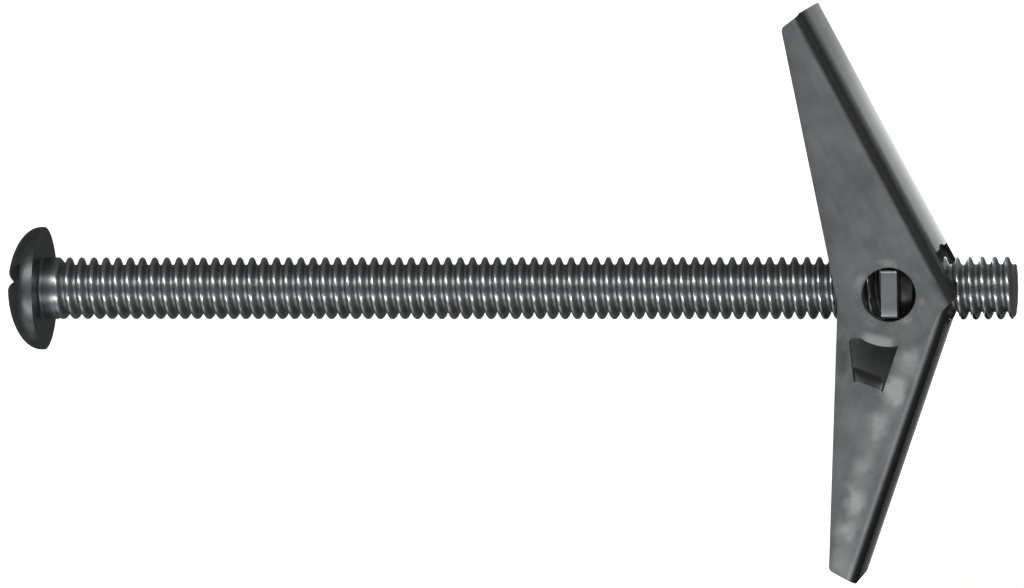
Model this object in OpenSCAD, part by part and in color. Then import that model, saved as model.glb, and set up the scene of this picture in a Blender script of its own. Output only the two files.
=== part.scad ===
// Spring toggle bolt: a slotted machine screw carrying a trunnion nut, two
// spring-loaded folding wings and one double torsion spring.
//
// Frame: the origin is the centre of the head's bearing face, +X runs down the
// screw to its tip, and +Z is the wings' pivot axis. The wings stand out along
// +Y and -Y, and they fold back towards the head. All lengths are millimetres.

/* [Screw] */
// Major diameter of the thread
screw_d = 6.35; // [5.5:0.05:7.5]
// Length of the screw under its head
screw_l = 100; // [70:1:160]
// Thread pitch
thread_pitch = 1.27; // [1:0.01:1.6]
// Plain neck between the head and the first thread
neck_l = 1.3; // [0.5:0.1:4]
// Fillet between the neck and the head's bearing face
neck_fillet = 0.3; // [0.1:0.05:0.5]
// Bevel at the screw's tip
tip_bevel = 0.35; // [0.2:0.05:0.6]

/* [Head] */
// Diameter of the head
head_d = 12.6; // [10:0.1:15]
// Height of the domed head
head_h = 3.6; // [3:0.1:5]
// Straight rim between the bearing face and the dome
head_rim = 0.3; // [0.1:0.1:0.8]
// Width of the driver slot
slot_w = 1.7; // [1:0.1:2.4]
// Depth of the driver slot below the crown
slot_depth = 2.2; // [1:0.1:2.6]
// Turn of the driver slot about the screw, from the pivot axis
slot_turn = 23; // [0:1:180]

/* [Wings] */
// Thickness of the wings' sheet
sheet_t = 0.8; // [0.6:0.05:1]
// Length of a wing from the pivot axis to its tip
wing_l = 29.2; // [22:0.1:40]
// Depth of a wing's flange at its tip
tip_flange = 3; // [1.5:0.1:4]
// How far the tip's free corner stands back from its corner on the web
tip_slant = 0.5; // [0:0.1:1.5]
// Land of sheet round the pivot hole
ear_land = 2.5; // [1.6:0.1:2.8]
// Outer radius of the two long bends
bend_r = 1.15; // [1.05:0.05:1.6]
// Distance from the pivot to the end of the web
web_start = 1.5; // [1.3:0.1:3]
// Reach of the flange's back corner behind the pivot
back_reach = 3.3; // [1.5:0.1:3.6]
// Angle of the first wing from square to the screw
wing_angle_a = 27.7; // [20:0.1:40]
// Angle of the second wing from square to the screw
wing_angle_b = 19.4; // [19:0.1:40]

/* [Spring seat tab] */
// Length of the tab's window along the wing
window_l = 5.4; // [4:0.1:7]
// Width of the window
window_w = 5; // [3:0.1:5.4]
// Distance from the pivot to the window
window_start = 4.2; // [4:0.1:6]
// Slant of the window's side that faces the free edge
window_lean = 1.4; // [0:0.1:2]
// Bend of the tab into the channel
tab_angle = 60; // [30:1:65]
// How much shorter than its window the tab is
tab_short = 3.6; // [3.4:0.1:4.4]
// Saw gap round the tab
tab_gap = 0.2; // [0.1:0.05:0.4]

/* [Nut] */
// Distance from the pivot axis to the screw's tip
tip_reach = 12.1; // [8:0.1:40]
// Thickness of the nut's plate and tangs
nut_t = 1.6; // [1.2:0.1:2]
// Plate left beside the bore
nut_wall = 1; // [0.8:0.1:1.4]
// Wall of the drawn hub
hub_wall = 0.675; // [0.5:0.025:0.9]
// Reach of the hub past the pivot axis
hub_reach = 2.2; // [1.4:0.1:2.3]
// Distance that the tangs stop short of the wings' faces
tang_inset = 0.2; // [0:0.1:0.5]

/* [Spring] */
// Diameter of the spring wire
wire_d = 0.55; // [0.4:0.05:0.6]
// Mean radius of the two coils
coil_r = 3.1; // [3:0.05:3.4]
// Reach of the bridge along the first wing
bridge_reach = 11; // [9:0.5:15]
// Reach of the two legs along the second wing
leg_reach = 9; // [7:0.5:12]

/* [Hidden] */
$fn = 96;

// clearances between pieces
bore_gap = 0.05;   // screw to the nut's bore, on the radius
hole_gap = 0.17;   // tang corners to the pivot hole
nest_gap = 0.08;   // outer ear to inner ear
ear_gap = 0.1;     // an ear inside the other wing's channel
web_room = 1.175;  // nut plate to the folded web
wire_gap = 0.08;   // spring wire to its neighbours
stop_gap = 0.1;    // screw to the web at the open stop
past = 1;          // how far a cutter runs past the piece it cuts

// thread: a 60 degree form with flat crests and roots
screw_r = screw_d / 2;
thread_depth = 0.6134 * thread_pitch;
root_r = screw_r - thread_depth;
flank = thread_depth * tan(30);
crest = thread_pitch / 8;
threads = floor((screw_l - neck_l - flank - tip_bevel) / thread_pitch);

// nut
nut_x = screw_l - tip_reach;
bore_r = screw_r + bore_gap;
hub_r = bore_r + hub_wall;
nut_half_y = screw_r + nut_wall;
nut_half_z = bore_r + wire_gap;

// spring: one turn and a little more on each tang, wound from the first wing to the second
coil_pitch = wire_d + 0.05;
web_in = nut_half_y + web_room;
web_out = web_in + sheet_t;
wire_n = web_in - wire_d / 2 - wire_gap;
function along_a(u, n) = [-u * sin(wing_angle_a) + n * cos(wing_angle_a),
                          u * cos(wing_angle_a) + n * sin(wing_angle_a)];
function along_b(u, n) = [-u * sin(wing_angle_b) + n * cos(wing_angle_b),
                          -u * cos(wing_angle_b) - n * sin(wing_angle_b)];
bridge_p = along_a(bridge_reach, wire_n);
leg_p = along_b(leg_reach, wire_n);
coil_from = atan2(bridge_p.y, bridge_p.x) - acos(coil_r / norm(bridge_p));
coil_to = atan2(leg_p.y, leg_p.x) + acos(coil_r / norm(leg_p)) - 360;
coil_rise = coil_pitch * (coil_from - coil_to) / 360;
coil_low_z = nut_half_z + wire_gap + wire_d / 2;
coil_top_z = coil_low_z + coil_rise;

// wings: the inner ear of each lies inside the outer ear of the other
inner_face = coil_top_z + wire_d / 2 + wire_gap;
inner_flange = inner_face + sheet_t;
outer_face = inner_flange + nest_gap;
outer_flange = outer_face + sheet_t;
ear_r = web_in - ear_gap;
hole_r = ear_r - ear_land;
tip_n = web_out - tip_flange;
tip_p = [wing_l - tip_slant, tip_n];
edge_turn = atan2(tip_p.y, tip_p.x) - acos(ear_r / norm(tip_p));
open_stop = 90 + edge_turn;
tang_w = 2 * sqrt(pow(hole_r - hole_gap, 2) - pow(nut_t / 2, 2));
tang_end = outer_flange - tang_inset;
notch_r = 7;
notch_u = (screw_r + stop_gap - web_in * sin(open_stop)) / cos(open_stop);

// A closed outline with each corner rounded to its own radius
function corner(a, b, c, r, steps) =
    let (p = (a - b) / norm(a - b), q = (c - b) / norm(c - b),
         half = acos(p * q) / 2,
         centre = b + (p + q) / norm(p + q) * r / sin(half),
         from = b + p * r / tan(half) - centre,
         to = b + q * r / tan(half) - centre,
         start = atan2(from.y, from.x),
         sweep = ((atan2(to.y, to.x) - start + 540) % 360) - 180)
    [for (i = [0 : steps]) centre + r * [cos(start + sweep * i / steps), sin(start + sweep * i / steps)]];
function rounded(points, radii, steps = 6) =
    let (count = len(points))
    [for (i = [0 : count - 1])
        each corner(points[(i + count - 1) % count], points[i], points[(i + 1) % count],
                    radii[i], steps)];

// Turns a shape drawn round +Z so that it runs along the screw
module along_screw() {
    rotate([0, 90, 0]) children();
}

// ---------------------------------------------------------------- screw

// Half section of the head: radius across, height along the screw
function head_section() =
    let (dome = head_h - head_rim, steps = 24)
    concat([[0, 0], [head_d / 2, 0]],
           [for (i = [0 : steps]) [head_d / 2 * cos(90 * i / steps),
                                   -head_rim - dome * sin(90 * i / steps)]]);

// Half section of the shank: a filleted neck of full diameter, then threads,
// each of which is one ridge of the 60 degree form, and the bevelled last ridge
function shank_section() =
    let (run_out = neck_l + threads * thread_pitch, steps = 5)
    concat([[0, -head_rim], [screw_r + neck_fillet, -head_rim]],
           [for (i = [0 : steps])
               [screw_r + neck_fillet * (1 - sin(90 * i / steps)),
                neck_fillet * (1 - cos(90 * i / steps))]],
           [[screw_r, neck_l]],
           [for (i = [0 : threads - 1], p = [[root_r, 0], [screw_r, flank],
                                             [screw_r, flank + crest],
                                             [root_r, 2 * flank + crest]])
               [p.x, neck_l + i * thread_pitch + p.y]],
           [[root_r, run_out], [screw_r, run_out + flank], [screw_r, screw_l - tip_bevel],
            [screw_r - tip_bevel, screw_l], [0, screw_l]]);

module machine_screw() {
    color([0.36, 0.37, 0.38])
    union() {
        difference() {
            along_screw() rotate_extrude() polygon(head_section());
            rotate([90 - slot_turn, 0, 0])
                translate([-head_h - past, -head_d, -slot_w / 2])
                cube([slot_depth + past, 2 * head_d, slot_w]);
        }
        along_screw() rotate_extrude() polygon(shank_section());
    }
}

// ---------------------------------------------------------------- nut

module trunnion_nut() {
    color([0.55, 0.56, 0.57])
    translate([nut_x, 0, 0])
    difference() {
        union() {
            translate([-nut_t / 2, -nut_half_y, -nut_half_z])
                cube([nut_t, 2 * nut_half_y, 2 * nut_half_z]);
            translate([-nut_t / 2, -tang_w / 2, -tang_end])
                cube([nut_t, tang_w, 2 * tang_end]);
            translate([-nut_t / 2, 0, 0])
                along_screw() cylinder(h = hub_reach + nut_t / 2, r = hub_r);
        }
        translate([-nut_t / 2 - past, 0, 0])
            along_screw() cylinder(h = hub_reach + nut_t + 2 * past, r = bore_r);
    }
}

// ---------------------------------------------------------------- wings

// A wing is drawn lying along +X from the pivot, with its web towards +Y, its
// outer ear below and its inner ear above.

// Side outline of a flange: round ear, tapered free edge, square tip
module flange_outline() {
    circle(r = ear_r);
    polygon(rounded([
        ear_r * [cos(edge_turn), sin(edge_turn)],
        tip_p,
        [wing_l, web_out],
        [-back_reach, web_out],
        ear_r * [cos(143), sin(143)]],
        [0.01, 0.6, 0.3, 0.4, 0.01]));
}

// Rounds one square corner at the origin, which points towards +X +Y
module corner_cut(r) {
    translate([-r, -r]) difference() {
        square(r + past);
        circle(r = r);
    }
}

// A square-cornered section with its two corners on the web's side rounded
module channel_block(low, high, web, r) {
    difference() {
        translate([-ear_r - past, low]) square([web + ear_r + past, high - low]);
        translate([web, high]) corner_cut(r);
        translate([web, low]) mirror([0, 1]) corner_cut(r);
    }
}

// The folded channel, from the end of the web to the tip
module channel() {
    intersection() {
        translate([web_start, 0, 0])
            rotate([90, 0, 90])
            linear_extrude(wing_l + past)
            difference() {
                channel_block(-outer_flange, inner_flange, web_out, bend_r);
                channel_block(-outer_face, inner_face, web_in, bend_r - sheet_t);
            }
        translate([0, 0, -outer_flange])
            linear_extrude(outer_flange + inner_flange) flange_outline();
    }
}

// A flat flange: its long edge stops at the bend, and keeps the bend's round
// behind the end of the web
module flange(low) {
    intersection() {
        translate([0, 0, low]) linear_extrude(sheet_t) difference() {
            flange_outline();
            translate([web_start, web_out - bend_r]) square([wing_l, bend_r + past]);
        }
        translate([-ear_r - past, 0, 0])
            rotate([90, 0, 90])
            linear_extrude(wing_l + ear_r + 2 * past)
            channel_block(-outer_flange, inner_flange, web_out, bend_r);
    }
}

// Outline of the window in the inner flange, or a smaller one inside it
module window_outline(gap) {
    near = window_start + gap;
    far = window_start + window_l;
    side = window_w / 2 - gap;
    round_r = 0.4;
    polygon(rounded([[near, side], [far, side], [far + round_r, gap - round_r],
                     [near + window_lean, -side]],
                    [round_r, round_r, round_r, round_r]));
}

// The tab is the far end of the window's sheet: it stays joined at the far edge
// and is bent down into the channel
module tab() {
    hinge_u = window_start + window_l;
    intersection() {
        translate([hinge_u, 0, inner_flange])
            rotate([0, -tab_angle, 0])
            translate([-hinge_u, 0, -sheet_t])
            linear_extrude(sheet_t) intersection() {
                window_outline(tab_gap);
                translate([window_start + tab_short, -web_in]) square([window_l, 2 * web_in]);
            }
        translate([0, -web_in, 0]) cube([wing_l, 2 * web_in, inner_flange]);
    }
}

module wing() {
    difference() {
        union() {
            channel();
            flange(-outer_flange);
            flange(inner_face);
        }
        translate([0, 0, -outer_flange - past])
            cylinder(h = outer_flange + inner_flange + 2 * past, r = hole_r);
        translate([notch_u - notch_r, web_in - past, 0])
            rotate([-90, 0, 0]) cylinder(h = sheet_t + 2 * past, r = notch_r);
        translate([0, 0, inner_face - past])
            linear_extrude(sheet_t + 2 * past) window_outline(0);
    }
    tab();
}

module lower_wing() {
    color([0.5, 0.51, 0.52])
    translate([nut_x, 0, 0]) rotate([0, 0, -90 - wing_angle_b]) wing();
}

module upper_wing() {
    color([0.46, 0.47, 0.48])
    translate([nut_x, 0, 0]) rotate([180, 0, 0]) rotate([0, 0, -90 - wing_angle_a]) wing();
}

// ---------------------------------------------------------------- spring

// Half of the wire's centre line, from the end of a leg to the bridge
bend_in = 1;   // radius of the bend from a leg into the bridge
function half_wire() =
    let (steps = 30,
         tangent = coil_r * [cos(coil_from), sin(coil_from)],
         run = (bridge_p - tangent) / norm(bridge_p - tangent))
    concat([[leg_p.x, leg_p.y, coil_low_z]],
           [for (i = [steps : -1 : 0])
               let (a = coil_from + (coil_to - coil_from) * i / steps)
               [coil_r * cos(a), coil_r * sin(a), coil_top_z - coil_rise * i / steps]],
           [for (a = [0 : 22.5 : 90])
               let (p = bridge_p + run * bend_in * (sin(a) - 1))
               [p.x, p.y, coil_top_z - bend_in * (1 - cos(a))]]);
function mirrored_z(points) =
    [for (i = [len(points) - 1 : -1 : 0]) [points[i].x, points[i].y, -points[i].z]];

// A round wire swept along points: each ring is square to the path there
function unit(v) = v / norm(v);
function ring(before, here, after, r, sides) =
    let (t = unit(unit(here - before + 1e-6 * (after - here)) + unit(after - here + 1e-6 * (here - before))),
         side = unit(cross(t, [0.31, 0.22, 0.92])),
         up = cross(side, t))
    [for (k = [0 : sides - 1]) here + r * (side * cos(360 * k / sides) + up * sin(360 * k / sides))];
module wire(points, r, sides = 10) {
    last = len(points) - 1;
    rings = [for (i = [0 : last])
        each ring(points[max(i - 1, 0)], points[i], points[min(i + 1, last)], r, sides)];
    walls = [for (i = [0 : last - 1], k = [0 : sides - 1])
        let (next = (k + 1) % sides)
        [i * sides + k, i * sides + next, (i + 1) * sides + next, (i + 1) * sides + k]];
    polyhedron(rings, concat([[for (k = [sides - 1 : -1 : 0]) k]], walls,
                             [[for (k = [0 : sides - 1]) last * sides + k]]), convexity = 8);
}

module torsion_spring() {
    half = half_wire();
    color([0.7, 0.7, 0.7])
    translate([nut_x, 0, 0]) wire(concat(half, mirrored_z(half)), wire_d / 2);
}

machine_screw();
trunnion_nut();
upper_wing();
lower_wing();
torsion_spring();
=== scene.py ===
import math

import bmesh
import bpy
import numpy as np
from mathutils import Matrix, Vector
from mathutils.geometry import delaunay_2d_cdt


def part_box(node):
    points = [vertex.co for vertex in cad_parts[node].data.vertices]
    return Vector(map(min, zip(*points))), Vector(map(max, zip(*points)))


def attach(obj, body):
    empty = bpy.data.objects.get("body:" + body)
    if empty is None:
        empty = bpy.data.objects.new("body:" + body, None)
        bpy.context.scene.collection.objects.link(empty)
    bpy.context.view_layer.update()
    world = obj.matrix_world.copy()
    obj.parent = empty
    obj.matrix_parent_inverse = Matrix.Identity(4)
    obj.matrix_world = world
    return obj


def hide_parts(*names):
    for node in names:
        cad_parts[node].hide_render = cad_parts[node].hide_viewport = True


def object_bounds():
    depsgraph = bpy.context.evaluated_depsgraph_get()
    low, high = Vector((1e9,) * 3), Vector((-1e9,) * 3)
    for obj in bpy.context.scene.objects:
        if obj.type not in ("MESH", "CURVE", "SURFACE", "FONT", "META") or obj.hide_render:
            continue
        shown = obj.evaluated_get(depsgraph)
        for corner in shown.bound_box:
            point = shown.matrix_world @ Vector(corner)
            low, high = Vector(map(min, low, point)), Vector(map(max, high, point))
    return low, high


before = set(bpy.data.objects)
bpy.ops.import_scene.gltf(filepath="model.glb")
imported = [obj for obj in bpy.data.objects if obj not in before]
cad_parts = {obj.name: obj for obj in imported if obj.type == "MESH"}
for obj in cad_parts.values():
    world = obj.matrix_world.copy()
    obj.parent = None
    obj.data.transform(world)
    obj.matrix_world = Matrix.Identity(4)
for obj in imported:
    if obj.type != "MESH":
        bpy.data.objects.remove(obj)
cad_low, cad_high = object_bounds()

# Camera: a long lens almost straight above the bolt as it lies, leaning a few
# degrees towards the screw's tip and the upper wing.
view_width = 0.10415
lens_mm, sensor_mm = 300.0, 36.0
aim = Vector((0.0486, -0.0006, 0.0))
towards = Vector((0.162, 0.106, 0.981)).normalized()
view_up = towards.cross(Vector((1, 0, 0))).normalized()
view_right = view_up.cross(towards)
camera_data = bpy.data.cameras.new("camera")
camera_data.lens, camera_data.sensor_width = lens_mm, sensor_mm
distance = view_width * lens_mm / sensor_mm
camera_data.clip_start, camera_data.clip_end = 0.01, 20
camera = bpy.data.objects.new("camera", camera_data)
bpy.context.scene.collection.objects.link(camera)
camera.matrix_world = Matrix.Translation(aim + towards * distance) @ Matrix(
    (view_right, view_up, towards)).transposed().to_4x4()
bpy.context.scene.camera = camera


# ---------------------------------------------------------------- light table
# The bolt lies on white card in a dim studio. Two long strip lights hang over
# the screw, one on each side, with a low softbox on the lower wing's side, and
# a lit sheet beside each wing's web gives it a fade from dark to white.
mm = 0.001


def plain_mesh(name, points, faces):
    """An object at the origin from arrays of points and of faces."""
    mesh = bpy.data.meshes.new(name)
    mesh.from_pydata(np.asarray(points, float).tolist(), [], np.asarray(faces, int).tolist())
    piece = bpy.data.objects.new(name, mesh)
    bpy.context.scene.collection.objects.link(piece)
    return piece


card_reach = 4.0
card_corners = np.array([(-1, -1), (1, -1), (1, 1), (-1, 1)]) * card_reach
card = plain_mesh("card", np.column_stack((card_corners, np.full(4, cad_low.z))), [(0, 1, 2, 3)])


class Value:
    """A shader socket on which Python sums add Math nodes."""

    def __init__(self, finish, socket):
        self.finish, self.socket = finish, socket

    def math(self, operation, *others):
        return self.finish.node("ShaderNodeMath", {"operation": operation},
                                dict(enumerate((self, *others))))

    def __add__(self, other):
        return self.math("ADD", other)

    def __mul__(self, other):
        return self.math("MULTIPLY", other)

    def __sub__(self, other):
        return self.math("SUBTRACT", other)

    def __rsub__(self, other):
        return self.finish.node("ShaderNodeMath", {"operation": "SUBTRACT"}, {0: other, 1: self})

    def __pow__(self, other):
        return self.math("POWER", other)

    __radd__, __rmul__ = __add__, __mul__

    def rise(self, low, high):
        """0 below low, 1 above high, and a smooth step between them."""
        return self.finish.node("ShaderNodeMapRange", {"interpolation_type": "SMOOTHSTEP"},
                                {"Value": self, "From Min": low, "From Max": high})


class Finish:
    """A material, or the world, and one method that adds any node to it."""

    def __init__(self, owner):
        self.owner = owner
        owner.use_nodes = True
        self.nodes, self.links = owner.node_tree.nodes, owner.node_tree.links

    def put(self, node, inputs):
        for name, value in inputs.items():
            if isinstance(value, Value):
                self.links.new(value.socket, node.inputs[name])
            else:
                node.inputs[name].default_value = value

    def node(self, kind, settings={}, inputs={}, output=0):
        added = self.nodes.new(kind)
        for name, value in settings.items():
            setattr(added, name, value)
        self.put(added, inputs)
        return Value(self, added.outputs[output])

    def surface(self, inputs):
        self.put(self.nodes["Principled BSDF"], inputs)
        return self.owner

    def split(self, vector):
        """The three numbers of a vector."""
        parts = self.node("ShaderNodeSeparateXYZ", {}, {"Vector": vector})
        return [Value(self, socket) for socket in parts.socket.node.outputs]

    def mix(self, factor, one, other):
        """A colour between two colours, each a tuple or a link."""
        return self.node("ShaderNodeMix", {"data_type": "RGBA"},
                         {0: factor, 6: one, 7: other}, output=2)

    def noise(self, place, scale, detail=3.0, stretch=(1, 1, 1)):
        """Noise between 0 and 1 with so many features to a metre, drawn out along the axes."""
        pulled = self.node("ShaderNodeVectorMath", {"operation": "MULTIPLY"}, {0: place, 1: stretch})
        return self.node("ShaderNodeTexNoise", {"noise_dimensions": "3D"},
                         {"Vector": pulled, "Scale": scale, "Detail": detail, "Roughness": 0.55})

    def bump(self, height, distance, strength=1.0):
        return self.node("ShaderNodeBump", {}, {"Height": height, "Distance": distance,
                                                "Strength": strength})


def seen(finish, shown, hidden):
    """A shader that the camera sees as one shade and every other ray as another."""
    ray = finish.node("ShaderNodeLightPath", output="Is Camera Ray")
    return finish.node("ShaderNodeMixShader", {}, {0: ray, 1: hidden, 2: shown})


# the camera sees the card and the room as plain white, and every other ray sees them dim
white, room_light = (1, 1, 1, 1), 0.1
paper = Finish(bpy.data.materials.new("white_card"))
lit = paper.node("ShaderNodeBsdfDiffuse", {}, {"Color": (0.6, 0.6, 0.6, 1)})
glow = paper.node("ShaderNodeEmission", {}, {"Color": white, "Strength": 1.0})
bright = paper.node("ShaderNodeAddShader", {}, {0: lit, 1: glow})
dim = paper.node("ShaderNodeEmission", {}, {"Color": white, "Strength": room_light})
paper.put(paper.nodes["Material Output"], {"Surface": seen(paper, bright, dim)})
card.data.materials.append(paper.owner)


def reflector(name, outline, web_facing, foot, faded, tip_side, shades):
    """A lit sheet just above the card, beside a wing's web and out of the camera's sight, with
    one shade by the web, one by its tip and one beyond. In the direction that the web faces, the
    web's foot is foot millimetres out and the sheet has faded at faded millimetres."""
    height = cad_low.z + 0.02 * mm
    lit_sheet = plain_mesh(name, [(x * mm, y * mm, height) for x, y in outline],
                           [tuple(range(len(outline)))])
    lit_sheet.visible_camera = False
    shine = Finish(bpy.data.materials.new(name))
    x, y, _ = shine.split(shine.node("ShaderNodeTexCoord", output="Object"))
    by_web, by_tip, beyond = [(shade, shade, shade, 1) for shade in shades]
    near = shine.mix((y * tip_side).rise(16 * mm, 27 * mm), by_web, by_tip)
    away = x * web_facing[0] + y * web_facing[1]
    colour = shine.mix(away.rise(foot * mm, faded * mm), near, beyond)
    shine.put(shine.nodes["Material Output"], {
        "Surface": shine.node("ShaderNodeEmission", {}, {"Color": colour})})
    lit_sheet.data.materials.append(shine.owner)


reflector("reflector_above", ((94.2, 0.5), (120, 30), (180, 120), (75, 120), (79, 29.5)),
          (0.885, 0.465), 84.1, 86.1, 1, (2.6, 0.9, 0.28))
reflector("reflector_below", ((93.1, -0.5), (82.7, -30), (83.8, -60), (120, -60), (120, -30)),
          (0.943, -0.332), 88.9, 89.7, -1, (3.0, 3.0, 0.0))

world = bpy.data.worlds.new("studio")
bpy.context.scene.world = world
room = Finish(world)
backdrop = room.node("ShaderNodeBackground", {}, {"Color": white, "Strength": 1.0})
walls = room.node("ShaderNodeBackground", {}, {"Color": white, "Strength": room_light})
room.put(room.nodes["World Output"], {"Surface": seen(room, backdrop, walls)})
bpy.context.scene.view_settings.view_transform = "Standard"


def softbox(name, direction, long, wide, power):
    """A rectangular light whose long side runs as near +X as it can, aimed at the screw's
    middle."""
    target, away = Vector((50 * mm, 0, 0)), 0.9
    facing = Vector(direction).normalized()
    across = facing.cross(Vector((1, 0, 0))).normalized()
    along = across.cross(facing)
    light = bpy.data.lights.new(name, "AREA")
    light.shape, light.size, light.size_y, light.energy = "RECTANGLE", long, wide, power
    lamp = bpy.data.objects.new(name, light)
    bpy.context.scene.collection.objects.link(lamp)
    lamp.matrix_world = Matrix.Translation(target + facing * away) @ Matrix(
        (along, across, facing)).transposed().to_4x4()


softbox("strip_above", (0, 0.602, 0.799), 2.4, 0.12, 7.0)
softbox("strip_below", (0, -0.545, 0.839), 2.4, 0.12, 6.2)
softbox("low_fill", (-0.2, -0.94, 0.26), 1.6, 0.4, 0.9)


# -------------------------------------------------------------- machine screw
# One cold-headed steel pin: a domed head with a driver slot sawn across it, a
# filleted neck, and a thread rolled along the rest of it. It is zinc-plated,
# rubbed bright on the crests and dull in the roots; the roots' and the head's
# darker colour is painted shade.
screw_low, screw_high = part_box("machine_screw")
screw_radius, screw_length = 3.175 * mm, screw_high.x
thread_pitch, thread_depth = 1.27 * mm, 0.779 * mm
neck_length, neck_fillet, tip_bevel = 1.3 * mm, 0.3 * mm, 0.35 * mm


def blended(low, high, x):
    """0 below low and 1 above high, with a smooth step between."""
    t = np.clip((x - low) / (high - low), 0, 1)
    return t * t * (3 - 2 * t)


def ring_faces(rings, round_points, closed=False):
    """Faces between each ring of points and the next, and from the last to the first if the
    whole is closed."""
    row, column = np.meshgrid(np.arange(rings if closed else rings - 1),
                              np.arange(round_points), indexing="ij")
    below, after = (row + 1) % rings, (column + 1) % round_points
    return np.stack((row * round_points + column, row * round_points + after,
                     below * round_points + after, below * round_points + column),
                    axis=-1).reshape(-1, 4)


def threaded_shank(round_points=72):
    """A surface of two numbers, k along the screw and j round it. The running index k + m j / N
    gives the distance along the screw, so that a line of equal k is a right-hand helix and the
    last column joins the first one pitch further on. The radius is the screw's, less a depth that
    depends on k alone and fades out at the neck; the fillet, the bevel and both ends are limits
    on the radius."""
    form = np.array([0.03, 0.0, 0.03, 0.17, 0.5, 0.83, 0.98, 1.0, 0.98, 0.83, 0.5, 0.17])
    m = len(form)
    inside_head, fillet_steps, neck_steps = -0.3 * mm, 16, 8
    knots = np.cumsum((0, m, fillet_steps, neck_steps))
    places = np.array([inside_head, inside_head, neck_fillet, neck_length])
    step = thread_pitch / m
    last = int(knots[-1] + (screw_length - neck_length) / step) + 2 * m
    k, j = np.meshgrid(np.arange(-m, last + m + 1), np.arange(round_points), indexing="ij")
    running = k + m * j / round_points
    angle = 2 * np.pi * j / round_points
    along = np.interp(running, knots, places) + step * np.clip(running - knots[-1], 0, None)
    sunk = thread_depth * blended(neck_length, neck_length + thread_pitch, along)
    radius = screw_radius - sunk * form[k % m]
    flare = neck_fillet - np.sqrt(np.clip(neck_fillet ** 2 - (neck_fillet - along) ** 2, 0, None))
    radius += np.where(along < neck_fillet, np.where(along < 0, neck_fillet, flare), 0)
    radius *= np.clip(running / m, 0, 1)
    # the sawn end: its outline is the thread's own section there
    end_index = knots[-1] + (screw_length - neck_length) / step - m * j / round_points
    end_form = np.interp(end_index % m, np.arange(m + 1), np.append(form, form[0]))
    end_radius = np.minimum(screw_radius - thread_depth * end_form, screw_radius - tip_bevel)
    past = along - screw_length
    radius = np.minimum(radius, screw_radius - tip_bevel - past)
    radius = np.where(past > 0, end_radius * np.clip(1 - past / thread_pitch, 0, 1), radius)
    points = np.stack((np.minimum(along, screw_length), radius * np.cos(angle),
                       radius * np.sin(angle)), axis=-1)
    row, column = np.meshgrid(np.arange(len(k) - m - 1), np.arange(round_points), indexing="ij")
    wraps = column == round_points - 1
    beside = (row + np.where(wraps, m, 0)) * round_points + np.where(wraps, 0, column + 1)
    here = row * round_points + column
    faces = np.stack((here, beside, beside + round_points, here + round_points), axis=-1)
    return points.reshape(-1, 3), faces.reshape(-1, 4)


def slotted_head(chords=40, chord_points=49):
    """The head as a stack of closed loops, each in a plane parallel to the slot: t across the slot
    names the loop, and along it a point runs over the dome, round the rim and back under the head.
    The dome's height is a half ellipse of the distance from the axis, and the slot lowers it: a
    rounded lip, an upright wall, a small fillet and a flat floor."""
    radius, height, rim = screw_high.y, -screw_low.x, 0.3 * mm
    slot_half, floor, lip, fillet = 0.85 * mm, height - 2.2 * mm, 0.14 * mm, 0.16 * mm

    def dome(s, t):
        rise = np.sqrt(np.clip(1 - (s * s + t * t) / radius ** 2, 0, 1))
        return rim + (height - rim) * rise

    turn = np.linspace(0, np.pi / 2, 6)[1:]
    edge = np.arcsin((slot_half + lip) / radius)
    # t, the drop below the lip's edge, the share of the wall passed, and the height over the floor
    half = np.concatenate([np.column_stack(np.broadcast_arrays(*part)) for part in (
        (radius * np.sin(np.linspace(np.pi / 2, edge, chords)), 0, 0, fillet),
        (slot_half + lip * (1 - np.sin(turn)), lip * (1 - np.cos(turn)), 0, fillet),
        (slot_half, lip, np.linspace(0, 1, 6)[1:], fillet),
        (slot_half - fillet * (1 - np.cos(turn)), lip, 1, fillet * (1 - np.sin(turn))),
        (np.linspace(slot_half - fillet, 0, 5)[1:], lip, 1, 0))])
    whole = np.concatenate((half, half[-2::-1] * (-1, 1, 1, 1)))
    t, drop_lip, share, above_floor = whole.T[:, :, None]
    reach = np.sqrt(np.clip(radius ** 2 - t ** 2, 0, None))
    s = reach * np.sin(np.linspace(-np.pi / 2, np.pi / 2, chord_points))[None, :]
    surface = dome(s, t)
    lip_height = dome(s, np.sign(t) * np.maximum(np.abs(t), slot_half + lip)) - drop_lip
    bottom = floor + above_floor
    cut = lip_height * (1 - share) + np.minimum(bottom, lip_height) * share
    top = np.where(np.abs(t) < slot_half + lip, np.minimum(surface, np.maximum(cut, bottom)), surface)
    rim_h = np.tile(rim * np.linspace(1, 0, 5)[1:-1], (len(t), 1))
    rim_s = np.tile(reach, (1, rim_h.shape[1]))
    loop_s = np.concatenate((s, rim_s, s[:, ::-1], -rim_s), axis=1)
    loop_h = np.concatenate((top, rim_h, 0 * s, rim_h[:, ::-1]), axis=1)
    loop_t = np.broadcast_to(t, loop_s.shape)
    slot_way = math.radians(67)
    points = np.stack((-loop_h, loop_s * math.cos(slot_way) - loop_t * math.sin(slot_way),
                       loop_s * math.sin(slot_way) + loop_t * math.cos(slot_way)), axis=-1)
    return points.reshape(-1, 3), ring_faces(*loop_s.shape)


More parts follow.
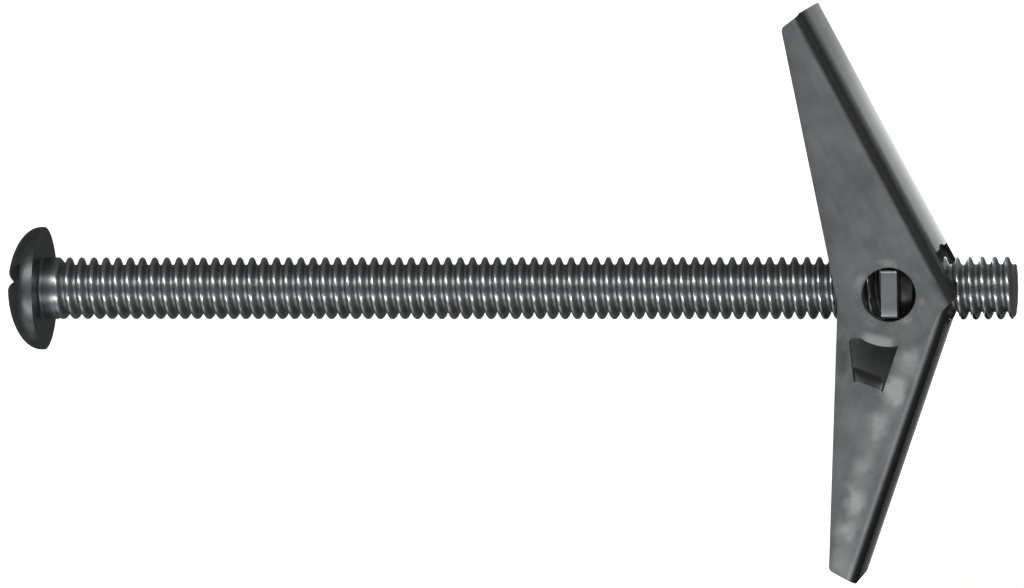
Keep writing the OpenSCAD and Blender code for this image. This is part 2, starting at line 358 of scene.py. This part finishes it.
def welded(piece, sharp_angle):
    """Merges an object's doubles, turns its faces outward and shades it smooth except across
    edges sharper than the angle, in degrees."""
    shell = bmesh.new()
    shell.from_mesh(piece.data)
    bmesh.ops.remove_doubles(shell, verts=shell.verts, dist=1e-7)
    bmesh.ops.dissolve_degenerate(shell, edges=shell.edges, dist=1e-7)
    loose = [v for v in shell.verts if not v.link_faces]
    bmesh.ops.delete(shell, geom=loose, context="VERTS")
    bmesh.ops.recalc_face_normals(shell, faces=shell.faces)
    shell.to_mesh(piece.data)
    shell.free()
    piece.data.shade_smooth()
    piece.data.set_sharp_from_angle(angle=math.radians(sharp_angle))
    return piece


shank_points, shank_faces = threaded_shank()
head_points, head_faces = slotted_head()
screw = welded(plain_mesh("rolled_screw", np.concatenate((shank_points, head_points)),
                          np.concatenate((shank_faces, head_faces + len(shank_points)))), 38)
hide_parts("machine_screw")
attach(screw, "screw")


def screw_plating():
    """Zinc on rolled steel: crests rubbed bright, roots darker as painted shade, the head and neck
    painted darker as shade, streaks round the screw from the rolling dies, and a fine mottle."""
    zinc = Finish(bpy.data.materials.new("rolled_zinc"))
    place = zinc.node("ShaderNodeTexCoord", output="Object")
    x, y, z = zinc.split(place)
    from_axis = (y * y + z * z) ** 0.5
    crest = from_axis.rise(screw_radius - 0.35 * mm, screw_radius)
    mottle = zinc.noise(place, 900, 4)
    streaks = zinc.noise(place, 500, 3, (7, 1, 1))
    # the head and neck are painted darker as shade, and made rougher
    head = 1 - x.rise(0.8 * mm, 2.2 * mm)
    # the crests are rubbed bright; the roots' darker colour is painted shade in the thread's recesses
    shade = zinc.mix(crest, (0.34, 0.345, 0.35, 1), (0.62, 0.63, 0.64, 1))
    shade = zinc.mix(mottle.rise(0.35, 0.7) * 0.35, shade, (0.30, 0.305, 0.31, 1))
    painted_head_shade = zinc.mix(mottle.rise(0.35, 0.7), (0.155, 0.16, 0.165, 1), (0.205, 0.21, 0.215, 1))
    shade = zinc.mix(head, shade, painted_head_shade)
    return zinc.surface({
        "Base Color": shade, "Metallic": 1.0,
        "Roughness": 0.32 - crest * 0.12 + mottle * 0.12 + head * 0.14,
        "Normal": zinc.bump(streaks * 0.6 + mottle * 0.4, 0.02 * mm, 0.5)})


screw.data.materials.append(screw_plating())


# --------------------------------------------------------------- trunnion nut
# A plate stamped from thick zinc-plated strip, with a hub drawn up round the
# tapped bore and a square tang at each end, on which both wings hang.
nut_low, nut_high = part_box("trunnion_nut")
nut_half_thick, nut_half_wide, plate_half_long = 0.8 * mm, 4.175 * mm, 3.305 * mm
pivot = Vector((nut_low.x + nut_half_thick, 0, 0))
tang_half_wide, tang_end = 2.45 * mm, nut_high.z
bore_radius, hub_radius, hub_reach = 3.225 * mm, 3.9 * mm, 2.2 * mm


def arc(centre, radius, start, end, steps):
    """Points on a round from one angle to another, in degrees."""
    angle = np.radians(np.linspace(start, end, steps))
    return np.column_stack((centre[0] + radius * np.cos(angle), centre[1] + radius * np.sin(angle)))


def rounded_outline(corners, radii, steps=5):
    """A closed outline whose corners are rounds: each touches the two sides that meet there."""
    corners = np.asarray(corners, float)
    before, after = np.roll(corners, 1, axis=0), np.roll(corners, -1, axis=0)
    rounds = []
    for prior, corner, nearby, radius in zip(before, corners, after, radii):
        p, q = ((end - corner) / np.linalg.norm(end - corner) for end in (prior, nearby))
        half = math.acos(np.clip(p @ q, -1, 1)) / 2
        centre = corner + (p + q) / np.linalg.norm(p + q) * radius / math.sin(half)
        first, last = (corner + side * radius / math.tan(half) - centre for side in (p, q))
        start = math.atan2(first[1], first[0])
        sweep = (math.atan2(last[1], last[0]) - start + math.pi) % (2 * math.pi) - math.pi
        turn = start + sweep * np.linspace(0, 1, steps)
        rounds.append(centre + radius * np.column_stack((np.cos(turn), np.sin(turn))))
    return np.concatenate(rounds)


def filled_in(loop, spacing):
    """A closed loop with points added so that none of its sides is longer than the spacing."""
    nearby = np.roll(loop, -1, axis=0)
    counts = np.maximum(1, np.ceil(np.linalg.norm(nearby - loop, axis=1) / spacing)).astype(int)
    return np.concatenate([start + (end - start) * (np.arange(count) / count)[:, None]
                           for start, end, count in zip(loop, nearby, counts)])


def encloses(loop, points):
    """Whether each point is inside a closed loop: a ray from it crosses the loop an odd number
    of times."""
    (x1, y1), (x2, y2) = loop.T[:, None, :], np.roll(loop, -1, axis=0).T[:, None, :]
    x, y = points[:, 0, None], points[:, 1, None]
    spans = (y1 > y) != (y2 > y)
    crossing = (x2 - x1) * (y - y1) / np.where(y2 == y1, 1e-12, y2 - y1) + x1
    return (spans & (x < crossing)).sum(axis=1) % 2 == 1


def pierced_blank(outline, holes, lattice, margin):
    """Triangles of a flat blank between its outline and its holes, through the lattice points
    that lie in it and no nearer an edge than the margin. Returns points and triangles."""
    edges = np.concatenate([outline, *holes])
    clear = np.min(np.linalg.norm(lattice[:, None] - edges[None], axis=2), axis=1) > margin
    inside = encloses(outline, lattice) & clear
    for hole in holes:
        inside &= ~encloses(hole, lattice)
    points = np.concatenate((edges, lattice[inside]))
    sides, first = [], 0
    for loop in (outline, *holes):
        sides += [(first + i, first + (i + 1) % len(loop)) for i in range(len(loop))]
        first += len(loop)
    scale = 1 / mm
    found, _, triangles, *_ = delaunay_2d_cdt([Vector(p) for p in (points * scale).tolist()],
                                              sides, [], 1, 1e-6)
    points = np.array([tuple(p) for p in found]) / scale
    triangles = np.array(triangles)
    middle = points[triangles].mean(axis=1)
    kept = encloses(outline, middle)
    for hole in holes:
        kept &= ~encloses(hole, middle)
    return points, triangles[kept]


def plate_from(name, front, back, triangles, uv):
    """A closed plate from one flat set of triangles laid on a front face and a back face, joined
    along every edge that only one triangle has."""
    count = len(front)
    directed = np.concatenate([triangles[:, [0, 1]], triangles[:, [1, 2]], triangles[:, [2, 0]]])
    forward, backward = directed @ [count, 1], directed[:, ::-1] @ [count, 1]
    rim = directed[~np.isin(forward, backward)]
    walls = np.column_stack((rim[:, 1], rim[:, 0], rim[:, 0] + count, rim[:, 1] + count))
    mesh = bpy.data.meshes.new(name)
    mesh.from_pydata(np.concatenate((front, back)).tolist(), [],
                     triangles.tolist() + (triangles[:, ::-1] + count).tolist() + walls.tolist())
    corners = np.zeros(len(mesh.loops), int)
    mesh.loops.foreach_get("vertex_index", corners)
    chart = mesh.uv_layers.new(name="sheet").data
    chart.foreach_set("uv", np.concatenate((uv, uv))[corners].ravel())
    piece = bpy.data.objects.new(name, mesh)
    bpy.context.scene.collection.objects.link(piece)
    return welded(piece, 40)


def eased(piece, width, segments=2):
    """Rounds the edges that the press leaves."""
    bevel = piece.modifiers.new("eased", "BEVEL")
    bevel.width, bevel.segments = width, segments
    bevel.limit_method, bevel.angle_limit = "ANGLE", math.radians(40)
    bevel.harden_normals = True
    return piece


def lattice_of(rows, columns):
    """Every pair of a row and a column."""
    return np.stack(np.meshgrid(rows, columns, indexing="ij"), axis=-1).reshape(-1, 2)


shoulder = [(nut_half_wide, -plate_half_long), (nut_half_wide, plate_half_long),
            (tang_half_wide, plate_half_long), (tang_half_wide, tang_end),
            (-tang_half_wide, tang_end), (-tang_half_wide, plate_half_long),
            (-nut_half_wide, plate_half_long), (-nut_half_wide, -plate_half_long),
            (-tang_half_wide, -plate_half_long), (-tang_half_wide, -tang_end),
            (tang_half_wide, -tang_end), (tang_half_wide, -plate_half_long)]
corner_radii = np.array((0.4, 0.4, 0.2, 0.3) * 3) * mm
nut_outline = filled_in(rounded_outline(shoulder, corner_radii), 0.8 * mm)
bore = arc((0, 0), bore_radius, 0, 360, 73)[:-1]
nut_points, nut_triangles = pierced_blank(nut_outline, [bore], lattice_of(
    np.linspace(-4, 4, 9) * mm, np.linspace(-6, 6, 13) * mm), 0.4 * mm)
y, z = nut_points.T
nut_plate = eased(plate_from("nut_plate",
                             np.column_stack((np.full_like(y, pivot.x + nut_half_thick), y, z)),
                             np.column_stack((np.full_like(y, pivot.x - nut_half_thick), y, z)),
                             nut_triangles, nut_points), 0.14 * mm, 3)


def turned(name, profile, round_points=72):
    """A profile of (along the screw, radius) carried round the screw's axis."""
    angle = 2 * np.pi * np.arange(round_points) / round_points
    along, radius = np.asarray(profile).T
    points = np.stack((along[:, None] + 0 * angle, radius[:, None] * np.cos(angle),
                       radius[:, None] * np.sin(angle)), axis=-1)
    faces = ring_faces(len(profile), round_points, closed=True)
    return welded(plain_mesh(name, points.reshape(-1, 3), faces), 40)


foot_round, brow_round, mouth_bevel = 0.35 * mm, 0.2 * mm, 0.18 * mm
hub_end = pivot.x + hub_reach
foot = arc((pivot.x + nut_half_thick + foot_round, hub_radius + foot_round), foot_round, 180, 270, 5)
brow = arc((hub_end - brow_round, hub_radius - brow_round), brow_round, 90, 0, 5)
mouth = [(hub_end, bore_radius + mouth_bevel), (hub_end - mouth_bevel, bore_radius)]
root = [(pivot.x, bore_radius), (pivot.x, hub_radius + foot_round)]
nut_hub = turned("nut_hub", np.concatenate((foot, brow, mouth, root)))
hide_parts("trunnion_nut")


def stamped_plating():
    """Zinc on thick stamped strip: satin, with a faint grain along the strip, painted dark over
    the plate and round the hub as shade inside the wings, and rubbed bright on the tangs."""
    zinc = Finish(bpy.data.materials.new("stamped_zinc"))
    place = zinc.node("ShaderNodeTexCoord", output="Object")
    height = zinc.split(place)[2].math("ABSOLUTE")
    mottle = zinc.noise(place, 800, 4)
    grain = zinc.noise(place, 900, 2, (1, 1, 9))
    lightened = (height + mottle * (1.2 * mm)).rise(plate_half_long + 0.8 * mm, tang_end)
    # the plate and hub are painted dark as shade inside the wings; the tangs are rubbed bright
    shade = zinc.mix(lightened, (0.10, 0.10, 0.10, 1), (0.34, 0.345, 0.35, 1))
    shade = zinc.mix(mottle.rise(0.3, 0.7) * 0.3, shade, (0.26, 0.26, 0.265, 1))
    return zinc.surface({
        "Base Color": shade, "Metallic": 0.95, "Roughness": 0.32 + mottle * 0.18,
        "Normal": zinc.bump(mottle + grain * 0.5, 0.02 * mm, 0.5)})


nut_finish = stamped_plating()
for piece in (nut_plate, nut_hub):
    piece.data.materials.append(nut_finish)
    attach(piece, "nut")


# -------------------------------------------------------------- torsion spring
# One length of bright drawn spring wire: a coil round each tang, a bridge that
# joins them across the upper wing's web, and a leg from each on the lower wing.
# Its ends wind up with the wings, so each overlaps the coil by a quarter turn.
wire_radius, coil_radius, wire_line = 0.275 * mm, 3.1 * mm, 4.995 * mm
coil_near, coil_far = 3.66 * mm, 4.295 * mm
bridge_reach, leg_reach, bridge_bend = 11 * mm, 9 * mm, 1 * mm
upper_angle, lower_angle = math.radians(27.7), math.radians(19.4)


def beside(angle, u, n):
    """A point u along a wing and n out from its pivot line, for a wing towards +Y."""
    return np.array((-u * math.sin(angle) + n * math.cos(angle),
                     u * math.cos(angle) + n * math.sin(angle)))


bridge_end = beside(upper_angle, bridge_reach, wire_line)
leg_end = beside(lower_angle, leg_reach, wire_line) * (1, -1)
wind_to_bridge = (math.atan2(bridge_end[1], bridge_end[0])
                  - math.acos(coil_radius / np.linalg.norm(bridge_end)))
wind_to_leg = (math.atan2(leg_end[1], leg_end[0])
               + math.acos(coil_radius / np.linalg.norm(leg_end)) - 2 * math.pi)


def wound(start, end):
    """A stretch of the coil: a round about the pivot that climbs evenly from leg to bridge."""
    angle = np.linspace(start, end, max(3, int(abs(end - start) / math.radians(4))))
    climb = (angle - wind_to_leg) / (wind_to_bridge - wind_to_leg)
    return np.column_stack((coil_radius * np.cos(angle), coil_radius * np.sin(angle),
                            coil_near + (coil_far - coil_near) * climb))


def wire(name, path, radius=wire_radius, sides=14):
    """A round tube along a path: at each point a ring lies square to the path there. A smaller
    ring just past each cut end makes it slightly domed."""
    past_end, end_share, never_along = 0.12 * radius, 0.6, (0.31, 0.22, 0.92)
    path = np.asarray(path) + np.array(pivot)
    way = np.gradient(path, axis=0)
    way /= np.linalg.norm(way, axis=1)[:, None]
    path = np.concatenate((path[:1] - past_end * way[:1], path, path[-1:] + past_end * way[-1:]))
    way = np.concatenate((way[:1], way, way[-1:]))
    side = np.cross(way, never_along)
    side /= np.linalg.norm(side, axis=1)[:, None]
    up = np.cross(side, way)
    size = np.full(len(path), radius)
    size[[0, -1]] *= end_share
    angle = 2 * np.pi * np.arange(sides) / sides
    rings = path[:, None] + size[:, None, None] * (
        side[:, None] * np.cos(angle)[:, None] + up[:, None] * np.sin(angle)[:, None])
    count = len(path) * sides
    caps = [list(range(sides)), list(range(count - 1, count - 1 - sides, -1))]
    mesh = bpy.data.meshes.new(name)
    mesh.from_pydata(rings.reshape(-1, 3).tolist(), [], ring_faces(len(path), sides).tolist() + caps)
    piece = bpy.data.objects.new(name, mesh)
    bpy.context.scene.collection.objects.link(piece)
    return welded(piece, 50)


flipped_z, just_inside = np.array((1, 1, -1)), (0.999, 0.999, 1)
overlap = math.radians(92)
coil = wound(wind_to_leg + math.radians(5), wind_to_bridge - math.radians(12))
run = bridge_end - coil_radius * np.array((math.cos(wind_to_bridge), math.sin(wind_to_bridge)))
run /= np.linalg.norm(run)
elbow_turn = np.linspace(0, math.pi / 2, 8)[:, None]
elbow = np.column_stack((bridge_end + run * bridge_bend * (np.sin(elbow_turn) - 1),
                         coil_far - bridge_bend * (1 - np.cos(elbow_turn))))
half_bridge = np.concatenate((
    wound(wind_to_bridge - overlap, wind_to_bridge) * just_inside, elbow))
leg = np.concatenate((
    wound(wind_to_leg + overlap, wind_to_leg) * just_inside, [(*leg_end, coil_near)]))
spring_parts = {
    "spring_coil_top": (coil, "nut"), "spring_coil_bottom": (coil * flipped_z, "nut"),
    "spring_bridge": (np.concatenate((half_bridge, half_bridge[::-1] * flipped_z)), "upper_wing"),
    "spring_leg_top": (leg, "lower_wing"), "spring_leg_bottom": (leg * flipped_z, "lower_wing")}


def drawn_wire():
    """Bright spring wire with fine lines from the drawing die and a trace of oil."""
    steel = Finish(bpy.data.materials.new("drawn_wire"))
    place = steel.node("ShaderNodeTexCoord", output="Object")
    oil = steel.noise(place, 700, 3)
    scratches = steel.noise(place, 6000, 2)
    return steel.surface({
        "Base Color": steel.mix(oil.rise(0.35, 0.7), (0.58, 0.58, 0.57, 1), (0.42, 0.42, 0.41, 1)),
        "Metallic": 1.0, "Roughness": 0.24 + oil * 0.15,
        "Normal": steel.bump(scratches, 0.006 * mm, 0.5)})


wire_finish = drawn_wire()
for name, (path, body) in spring_parts.items():
    piece = wire(name, path)
    piece.data.materials.append(wire_finish)
    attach(piece, body)
    if name == "spring_coil_top":
        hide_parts("torsion_spring")


# ---------------------------------------------------------------------- wings
# Two like stampings of 0.8 mm zinc-plated sheet. Each is blanked with its pivot
# holes and a lanced tab, then folded into a channel; one is hung half a turn
# round from the other, so that each one's outer ear laps the other's inner ear.
sheet = 0.8 * mm
wing_reach, tip_slant, tip_edge = 29.12 * mm, 0.5 * mm, 3.15 * mm
web_outside, bend_radius = 6.15 * mm, 1.15 * mm
outer_ear, inner_ear = 6.33 * mm, 5.45 * mm
ear_radius, hole_radius, back_reach = 5.25 * mm, 2.75 * mm, 3.3 * mm
web_start, notch_radius, notch_depth = 1.5 * mm, 7 * mm, 0.334 * mm
tab_hinge, tab_angle, tab_bend = 9.6 * mm, math.radians(60), 1.0 * mm

bend_line = web_outside - bend_radius
bend_run = bend_radius * math.pi / 2
web_half = (outer_ear + inner_ear) / 2 - bend_radius
web_middle = (inner_ear - outer_ear) / 2
lip_turn = math.acos(1 - sheet / bend_radius)


def unfolded(points):
    """Flange points (u along the wing, n out from the pivot line) on the flat blank, where the
    second number is the way from the web's middle: straight, then round the bend."""
    u, n = np.asarray(points, float).T
    turn = np.arcsin(np.clip((n - bend_line) / bend_radius, 0, 1))
    straight = np.clip(bend_line - n, 0, None)
    return np.column_stack((u, web_half + bend_run + straight - bend_radius * turn))


def wing_outline():
    """Half of the blank's outline, from the middle of the web at the tip: along the slanted tip,
    the free edge, the round ear, the back corner and the web's notched end, to its middle."""
    free_corner = np.array((wing_reach - tip_slant, tip_edge))
    bend_rows = np.linspace(0, math.pi / 2, 9)
    tip_n = bend_line + bend_radius * np.cos(bend_rows)
    tip_u = wing_reach - tip_slant * (web_outside - tip_n) / (web_outside - tip_edge)
    web_tip = np.column_stack((tip_u[:1].repeat(6), np.linspace(0, web_half, 7)[:-1]))
    bend_tip = np.column_stack((tip_u, web_half + bend_radius * bend_rows))
    touch = (math.atan2(free_corner[1], free_corner[0])
             - math.acos(ear_radius / np.linalg.norm(free_corner)))
    on_ear = ear_radius * np.array((math.cos(touch), math.sin(touch)))
    sharp, steps = 0.001 * mm, 8
    middle_corner = slice(steps, 2 * steps)
    corner = rounded_outline([(tip_u[-1], bend_line), free_corner, on_ear],
                             [sharp, 0.6 * mm, sharp], steps)[middle_corner]
    ear_end = 143 - 360
    ear = arc((0, 0), ear_radius, math.degrees(touch), ear_end, 60)
    lip_edge = bend_line + bend_radius * math.sin(lip_turn) - 0.01 * mm
    back = rounded_outline([ear[-1], (-back_reach, lip_edge), (web_start, lip_edge)],
                           [sharp, 0.4 * mm, sharp], steps)[middle_corner]
    flange = unfolded(np.concatenate((corner, ear, back, [(web_start, lip_edge)])))
    rows = np.linspace(flange[-1, 1], 0, 22)
    round_notch = np.sqrt(notch_radius ** 2 - np.clip(rows, 0, notch_radius) ** 2) - notch_radius
    web_end = np.column_stack((web_start + np.clip(round_notch + notch_depth, 0, None), rows))
    return np.concatenate((web_tip, bend_tip, flange, web_end[1:]))


def folded(u, s, tabbed, depth):
    """Where a point of the blank lies once the wing is folded, depth below its outer face. The
    web and the flanges are flat and each bend is a quarter of a round. Behind the end of the web
    the sheet stays flat and only its outer edge is round. The tab leaves its flange along a round
    and then runs straight into the channel."""
    side, reach = np.sign(s), np.abs(s)
    turn = np.clip((reach - web_half) / bend_radius, 0, math.pi / 2)
    down = np.clip(reach - web_half - bend_run, 0, None)
    n = bend_line + (bend_radius - depth) * np.cos(turn) - down
    w = np.minimum(reach, web_half) + (bend_radius - depth) * np.sin(turn)
    flat_n = bend_line + bend_radius * np.cos(turn) - down
    flat_w = np.minimum(web_half + bend_radius - depth,
                        np.minimum(reach, web_half) + bend_radius * np.sin(turn))
    bend_onset = 0.15 * mm
    bent = np.clip((u - web_start) / bend_onset + 1, 0, 1)
    n, w = flat_n + (n - flat_n) * bent, flat_w + (w - flat_w) * bent
    run = np.clip(tab_hinge - u, 0, None)
    lean = np.minimum(run / tab_bend, tab_angle)
    straight = run - tab_bend * lean
    tab_u = tab_hinge - (tab_bend - depth) * np.sin(lean) - straight * np.cos(lean)
    tab_w = (web_half + bend_radius - tab_bend + (tab_bend - depth) * np.cos(lean)
             - straight * np.sin(lean))
    u, w = np.where(tabbed, tab_u, u), np.where(tabbed, tab_w, w)
    return np.column_stack((u, n, web_middle + side * w))


half_outline = wing_outline()
outline = filled_in(np.concatenate((half_outline, half_outline[-2:0:-1] * (1, -1))), 0.6 * mm)
pivot_hole = unfolded(arc((0, 0), hole_radius, 0, 360, 61)[:-1])
# the cut, in millimetres along the wing and out from the pivot line: round the window from one
# end of the tab's hinge to the other, and back round the tab
slit = rounded_outline(
    np.array([(9.6, 2.5), (4.2, 2.5), (5.6, -2.5), (9.6, -0.59),
              (9.6, -0.4), (7.8, -1.3), (7.8, 2.3), (9.6, 2.3)]) * mm,
    np.array([0.02, 0.4, 0.4, 0.02, 0.02, 0.25, 0.25, 0.02]) * mm)
slit = filled_in(unfolded(slit), 0.2 * mm)
flange_rows = np.concatenate((web_half + bend_run * np.linspace(0, 1, 9)[1:],
                              web_half + bend_run + np.arange(0.8, 12, 0.8) * mm))
rows = np.concatenate((-flange_rows[::-1], np.linspace(-web_half, web_half, 13), flange_rows))
lattice = np.concatenate((
    lattice_of(np.arange(-5, 29.2, 0.8) * mm, rows),
    unfolded(lattice_of(np.linspace(7.9, 9.6, 12) * mm, np.linspace(-1, 2.2, 8) * mm))))
holes = [pivot_hole, pivot_hole * (1, -1), slit]
blank, triangles = pierced_blank(outline, holes, lattice, 0.12 * mm)
tab_bounds = unfolded(np.array([(7.7, 2.4), (9.6, 2.4), (9.6, -0.5), (7.7, -1.45)]) * mm)
tabbed = encloses(tab_bounds, blank)
outside, inside = (folded(*blank.T, tabbed, depth) for depth in (0, sheet))
cut_edges = np.concatenate([filled_in(loop, 0.1 * mm) for loop in (outline, *holes)])
from_edge = np.linalg.norm(blank[:, None] - cut_edges[None], axis=2).min(axis=1)
# the cut edges get rubbed bright specks, which are wear, and a dark rim, which is painted shade; both
# fade over this reach
edge_mark_reach = 0.55 * mm
edge_wear_and_shade = np.exp(-from_edge / edge_mark_reach)


def wing(name, body, angle, flipped):
    """The folded wing, turned from its own frame to its place on the nut."""
    turn = Matrix.Rotation(-math.pi / 2 - angle, 3, "Z")
    if flipped:
        turn = Matrix.Rotation(math.pi, 3, "X") @ turn
    faces = [points @ np.array(turn).T + np.array(pivot) for points in (outside, inside)]
    piece = plate_from(name, *faces, triangles[:, ::-1], blank / mm)
    marks = {"edge_wear_and_shade": np.tile(edge_wear_and_shade, 2), "lanced": np.tile(tabbed.astype(float), 2),
             "inner": np.repeat((0.0, 1.0), len(blank))}
    for mark, amount in marks.items():
        piece.data.attributes.new(mark, "FLOAT", "POINT").data.foreach_set("value", amount)
    piece = eased(piece, 0.07 * mm)
    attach(piece, body)
    return piece


upper = wing("folded_upper_wing", "upper_wing", upper_angle, True)
lower = wing("folded_lower_wing", "lower_wing", lower_angle, False)
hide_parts("upper_wing")
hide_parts("lower_wing")


def sheet_plating():
    """Dull zinc on rolled sheet, with a soft grey mottle and fine rolling lines. Painted shade
    darkens the bends, the tab, the cut edges, the back corner, the inside by the spring and a
    patch beside the window. Rubbed bright are specks along the cut edges and a broken ring round
    the pivot hole; painted highlights are spots along a streak a few millimetres in from one
    flange's bend and a bar on the outer ear's end. The strip's own map gives the millimetres along
    and across it."""
    zinc = Finish(bpy.data.materials.new("sheet_zinc"))
    place = zinc.node("ShaderNodeTexCoord", output="Object")
    strip = zinc.node("ShaderNodeTexCoord", output="UV")
    along, across, _ = zinc.split(strip)
    rim, lanced, inner = (
        zinc.node("ShaderNodeAttribute", {"attribute_name": mark}, output="Fac")
        for mark in ("edge_wear_and_shade", "lanced", "inner"))
    mottle = zinc.noise(place, 420, 5)
    grain = zinc.noise(strip, 1.5, 2, (0.12, 1, 1))
    clouds = zinc.noise(place, 130, 2)
    scratches = zinc.noise(place, 1500, 3)
    patches = zinc.noise(place, 480, 2)
    tone = mottle * 0.5 + grain * 0.2 + clouds * 0.3

    # painted highlights: brighter spots along a line that curves towards the bend
    wander = (patches - 0.5) * 3
    from_crest = along - 15.5
    streak = 8.3 - from_crest * from_crest * 0.0065 + wander * 0.7
    spots = 0.25 + patches * 0.3
    for middle, strength in ((5.3, 0.5), (8.8, 1.2), (13.1, 0.6), (17.8, 0.3), (21, 0.9),
                             (24.2, 0.6)):
        spots = spots + (1 - (along + wander - middle).math("ABSOLUTE").rise(0.1, 1.7)) * strength
    on_streak = (1 - (across - streak).math("ABSOLUTE").rise(0.1, 1.6)) * along.rise(3.5, 5.5)
    painted_spot_highlights = on_streak * (spots * (0.6 + scratches * 0.7))

    # the outer ear's bar, a painted highlight, and the ring, both measured from the pivot
    from_middle = across.math("ABSOLUTE")
    pivot_across = 11.6
    out = from_middle - pivot_across
    past_ear = out * 0.65 - along * 0.76
    around_ear = (out * 0.76 + along * 0.65).math("ABSOLUTE")
    painted_ear_highlight = past_ear.rise(3.9, 4.6) * (1 - around_ear.rise(0.9, 2.1)) * (1 - across.rise(0, 1))
    from_pivot = (along * along + out * out) ** 0.5
    ring = (1 - (from_pivot - 3.2).math("ABSOLUTE").rise(0.1, 0.7)) * patches.rise(0.42, 0.66)

    # painted shade: a dark line along each bend
    from_bend = (from_middle - 6.15 + across.rise(0, 1) * 0.75).math("ABSOLUTE")
    bend = 1 - from_bend.rise(0.3, 1.1)
    # painted shade in the back corner
    corner = (1 - along.rise(-1.5, 1)) * (1 - from_middle.rise(6.4, 7.6))
    # painted shade on the inside faces near the pivot
    painted_inside_shade = inner * (1 - along.rise(8, 13)) * 0.45
    # painted shade in a patch beside the window
    painted_window_shade = (1 - (along - 7.7).math("ABSOLUTE").rise(0.8, 3.5)) * across.rise(12.4, 13.8) * 0.55
    # the tab is painted dark as shade inside the window
    creased = bend.math("MAXIMUM", lanced)
    dark = creased
    # each of these is painted shade: the back corner, the cut edges' dark rim, the inside near the
    # pivot and the patch beside the window
    for painted_shade in (corner, rim * 0.42, painted_inside_shade, painted_window_shade):
        dark = dark.math("MAXIMUM", painted_shade)
    bright_marks = rim * scratches * 0.25 + painted_spot_highlights * 0.82 + painted_ear_highlight * 0.78 + ring * 0.42
    # lighter where worn, in the edge specks and the ring, and where highlights are painted, in the
    # streak's spots and the ear's bar
    lightened = bright_marks.math("MINIMUM", 1) * (1 - bend)

    shade = zinc.mix(tone.rise(0.3, 0.7), (0.26, 0.265, 0.27, 1), (0.36, 0.365, 0.37, 1))
    shade = zinc.mix(dark * 0.96, shade, (0.03, 0.03, 0.03, 1))
    shade = zinc.mix(lightened, shade, (0.72, 0.725, 0.73, 1))
    return zinc.surface({
        "Base Color": shade, "Metallic": 0.85, "Roughness": 0.29 + tone * 0.14 + creased * 0.3,
        "Normal": zinc.bump(mottle * 0.7 + grain * 0.5, 0.02 * mm, 0.6)})


wing_finish = sheet_plating()
for piece in (upper, lower):
    piece.data.materials.append(wing_finish)
